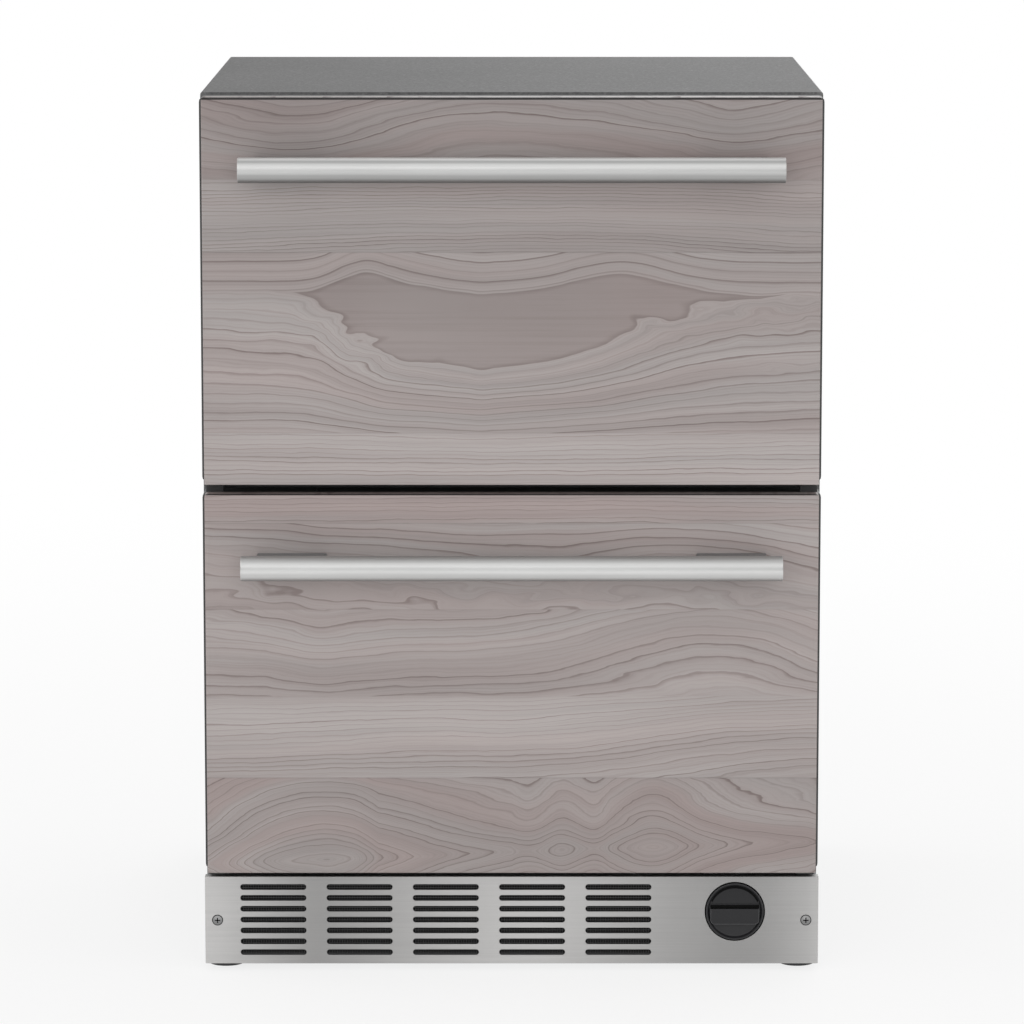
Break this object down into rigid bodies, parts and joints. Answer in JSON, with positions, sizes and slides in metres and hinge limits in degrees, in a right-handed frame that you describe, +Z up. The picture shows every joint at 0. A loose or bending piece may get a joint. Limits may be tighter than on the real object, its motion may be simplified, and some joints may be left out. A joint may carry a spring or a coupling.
{
  "type": "undercounter drawer refrigerator",
  "caption": "Undercounter refrigerator with stacked pull-out drawers, wood overlay fronts, bar handles, and a louvred steel kick plate with a water filter cap.",
  "frame": {"origin": "bottom centre of the bounding box, on the floor", "axes": "+X to the right of someone facing the drawers, -Y towards that person (the drawers pull out along -Y), +Z up"},
  "size_m": [0.6064, 0.64, 0.8668],
  "materials": {
    "cabinet_paint": "matte",
    "galvanised_steel": "matte",
    "brushed_stainless": "satin",
    "dark_trim": "matte",
    "black_plastic": "satin",
    "white_plastic": "satin",
    "insulation_foam": "matte",
    "door_steel": "satin",
    "wood_veneer": "satin",
    "seal_rubber": "matte",
    "bracket_steel": "satin",
    "runner_steel": "satin",
    "copper": "satin",
    "fin_aluminium": "satin",
    "compressor_black": "satin",
    "bin_plastic": "gloss",
    "light_cover": "satin"
  },
  "bodies": {
    "cabinet": {"cabinet_wrap": "cabinet_paint", "back_panel": "galvanised_steel", "base_pan": "galvanised_steel", "machine_deck": "galvanised_steel", "foam_insulation": "insulation_foam", "upper_liner": "white_plastic", "lower_liner": "white_plastic", "face_frame": "dark_trim", "kick_plate": "brushed_stainless", "compressor": "compressor_black", "condenser": "fin_aluminium", "condenser_fan_frame": "black_plastic", "discharge_line": "copper", "suction_line": "copper", "drain_pan": "black_plastic", "evaporator": "fin_aluminium", "evaporator_cover": "white_plastic", "air_duct": "white_plastic", "control_panel": "black_plastic", "light_bar": "light_cover", "ice_maker": "white_plastic", "filter_head": "black_plastic", "water_valve": "black_plastic", "upper_cabinet_runner_left": "runner_steel", "upper_cabinet_runner_right": "runner_steel", "lower_cabinet_runner_left": "runner_steel", "lower_cabinet_runner_right": "runner_steel"},
    "upper_middle_runners": {"upper_middle_runner_left": "runner_steel", "upper_middle_runner_right": "runner_steel"},
    "upper_drawer": {"upper_door_pan": "door_steel", "upper_door_liner": "white_plastic", "upper_gasket": "seal_rubber", "upper_wood_panel": "wood_veneer", "upper_handle_bar": "brushed_stainless", "upper_handle_bracket_left": "bracket_steel", "upper_handle_bracket_right": "bracket_steel", "upper_bin": "bin_plastic", "upper_drawer_runner_left": "runner_steel", "upper_drawer_runner_right": "runner_steel"},
    "lower_middle_runners": {"lower_middle_runner_left": "runner_steel", "lower_middle_runner_right": "runner_steel"},
    "lower_drawer": {"lower_door_pan": "door_steel", "lower_door_liner": "white_plastic", "lower_gasket": "seal_rubber", "lower_wood_panel": "wood_veneer", "lower_handle_bar": "brushed_stainless", "lower_handle_bracket_left": "bracket_steel", "lower_handle_bracket_right": "bracket_steel", "lower_bin": "bin_plastic", "lower_drawer_runner_left": "runner_steel", "lower_drawer_runner_right": "runner_steel"},
    "filter_cartridge": {"filter_cartridge": "white_plastic"},
    "filter_cap": {"filter_cap": "black_plastic"},
    "condenser_fan": {"condenser_fan": "black_plastic"},
    "evaporator_fan": {"evaporator_fan": "white_plastic"},
    "leg_front_left": {"leg_front_left": "black_plastic"},
    "leg_front_right": {"leg_front_right": "black_plastic"},
    "leg_rear_left": {"leg_rear_left": "black_plastic"},
    "leg_rear_right": {"leg_rear_right": "black_plastic"}
  },
  "joints": [
    {"name": "upper_drawer_slide", "type": "slide", "parent": "cabinet", "child": "upper_drawer", "axis": [0, -1, 0], "range_m": [0, 0.4]},
    {"name": "upper_runner_slide", "type": "slide", "parent": "cabinet", "child": "upper_middle_runners", "axis": [0, -1, 0], "range_m": [0, 0.2]},
    {"name": "lower_drawer_slide", "type": "slide", "parent": "cabinet", "child": "lower_drawer", "axis": [0, -1, 0], "range_m": [0, 0.4]},
    {"name": "lower_runner_slide", "type": "slide", "parent": "cabinet", "child": "lower_middle_runners", "axis": [0, -1, 0], "range_m": [0, 0.2]},
    {"name": "filter_pull", "type": "slide", "parent": "cabinet", "child": "filter_cartridge", "axis": [0, -1, 0], "range_m": [0, 0.24]},
    {"name": "filter_cap_turn", "type": "hinge", "parent": "filter_cartridge", "child": "filter_cap", "pos_m": [0.2207, -0.25, 0.0599], "axis": [0, -1, 0], "range_deg": [0, 90]},
    {"name": "condenser_fan_spin", "type": "hinge", "parent": "cabinet", "child": "condenser_fan", "pos_m": [0.02, 0.147, 0.088], "axis": [0, 1, 0], "continuous": true},
    {"name": "evaporator_fan_spin", "type": "hinge", "parent": "cabinet", "child": "evaporator_fan", "pos_m": [0.15, 0.212, 0.42], "axis": [0, 1, 0], "continuous": true},
    {"name": "leg_front_left_screw", "type": "slide", "parent": "cabinet", "child": "leg_front_left", "axis": [0, 0, -1], "range_m": [0, 0.016]},
    {"name": "leg_front_right_screw", "type": "slide", "parent": "cabinet", "child": "leg_front_right", "axis": [0, 0, -1], "range_m": [0, 0.016]},
    {"name": "leg_rear_left_screw", "type": "slide", "parent": "cabinet", "child": "leg_rear_left", "axis": [0, 0, -1], "range_m": [0, 0.016]},
    {"name": "leg_rear_right_screw", "type": "slide", "parent": "cabinet", "child": "leg_rear_right", "axis": [0, 0, -1], "range_m": [0, 0.016]}
  ],
  "couplings": [
    {"joint": "upper_runner_slide", "follows": "upper_drawer_slide", "ratio": 0.5},
    {"joint": "lower_runner_slide", "follows": "lower_drawer_slide", "ratio": 0.5}
  ]
}
